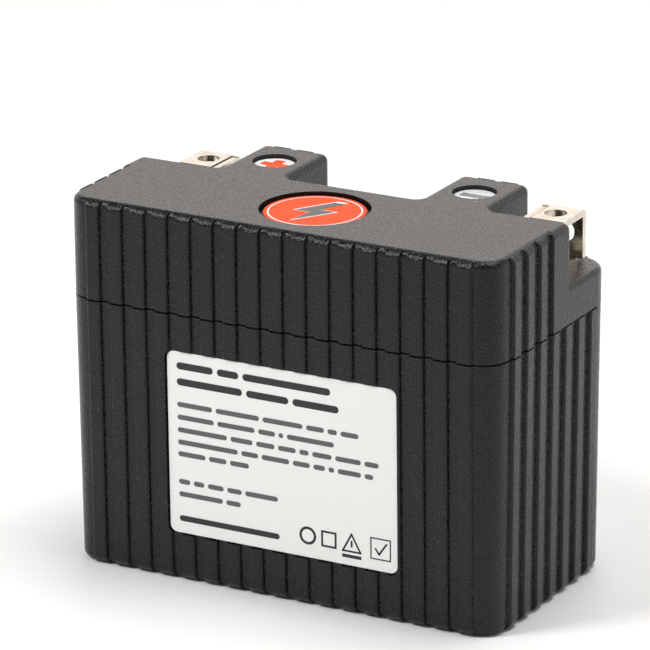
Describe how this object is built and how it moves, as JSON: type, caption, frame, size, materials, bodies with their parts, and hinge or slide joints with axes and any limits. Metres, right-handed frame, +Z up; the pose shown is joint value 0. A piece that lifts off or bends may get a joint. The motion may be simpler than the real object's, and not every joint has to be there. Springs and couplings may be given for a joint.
{
  "type": "motorcycle battery",
  "caption": "Ribbed rectangular starter battery with a stepped cover, folded box terminals in corner bays, round pole badges, a side label and a lift-off port cap.",
  "frame": {"origin": "middle of the underside", "axes": "+X along the long side towards the negative terminal, +Y towards the terminal side, +Z up"},
  "size_m": [0.113, 0.059, 0.089],
  "materials": {
    "case_plastic": "fine-grained, satin",
    "cover_plastic": "fine-grained, satin",
    "seal_rubber": "matt",
    "label_film": "satin printed film",
    "back_label_film": "satin printed film",
    "cap_plastic": "fine-grained",
    "cap_badge_print": "printed film",
    "positive_print": "printed film",
    "negative_print": "printed film",
    "terminal_nickel": "nickel-plated brass, polished",
    "rivet_nickel": "nickel-plated brass",
    "foam": "closed-cell foam",
    "inner_plastic": "moulded",
    "copper": "bare copper",
    "screw_steel": "zinc-plated",
    "board_green": "solder mask",
    "component_black": "moulded package",
    "port_plastic": "natural nylon",
    "pin_gold": "plated pin",
    "lead_pvc": "PVC-insulated wire",
    "cell_can": "aluminium can in blue film"
  },
  "bodies": {
    "battery": {"lower_case": "case_plastic", "top_cover": "cover_plastic", "case_seal": "seal_rubber", "care_label": "label_film", "back_label": "back_label_film", "positive_badge": "positive_print", "negative_badge": "negative_print", "positive_terminal": "terminal_nickel", "negative_terminal": "terminal_nickel", "terminal_rivets": "rivet_nickel", "base_pad": "foam", "cell_clamp": "inner_plastic", "positive_strap": "copper", "negative_strap": "copper", "link_screws": "screw_steel", "balance_board": "board_green", "board_screws": "screw_steel", "board_parts": "component_black", "balance_port": "port_plastic", "port_pins": "pin_gold", "balance_leads": "lead_pvc", "cell_1": "cell_can", "cell_2": "cell_can", "cell_3": "cell_can", "cell_4": "cell_can", "cell_pad_1": "foam", "cell_pad_2": "foam", "cell_pad_3": "foam", "series_link_1": "copper", "series_link_2": "copper", "series_link_3": "copper"},
    "cap": {"port_cap": "cap_plastic", "cap_badge": "cap_badge_print"}
  },
  "joints": [
    {"name": "cap_lift", "type": "slide", "parent": "battery", "child": "cap", "axis": [0, 0, 1], "range_m": [0, 0.015]}
  ]
}
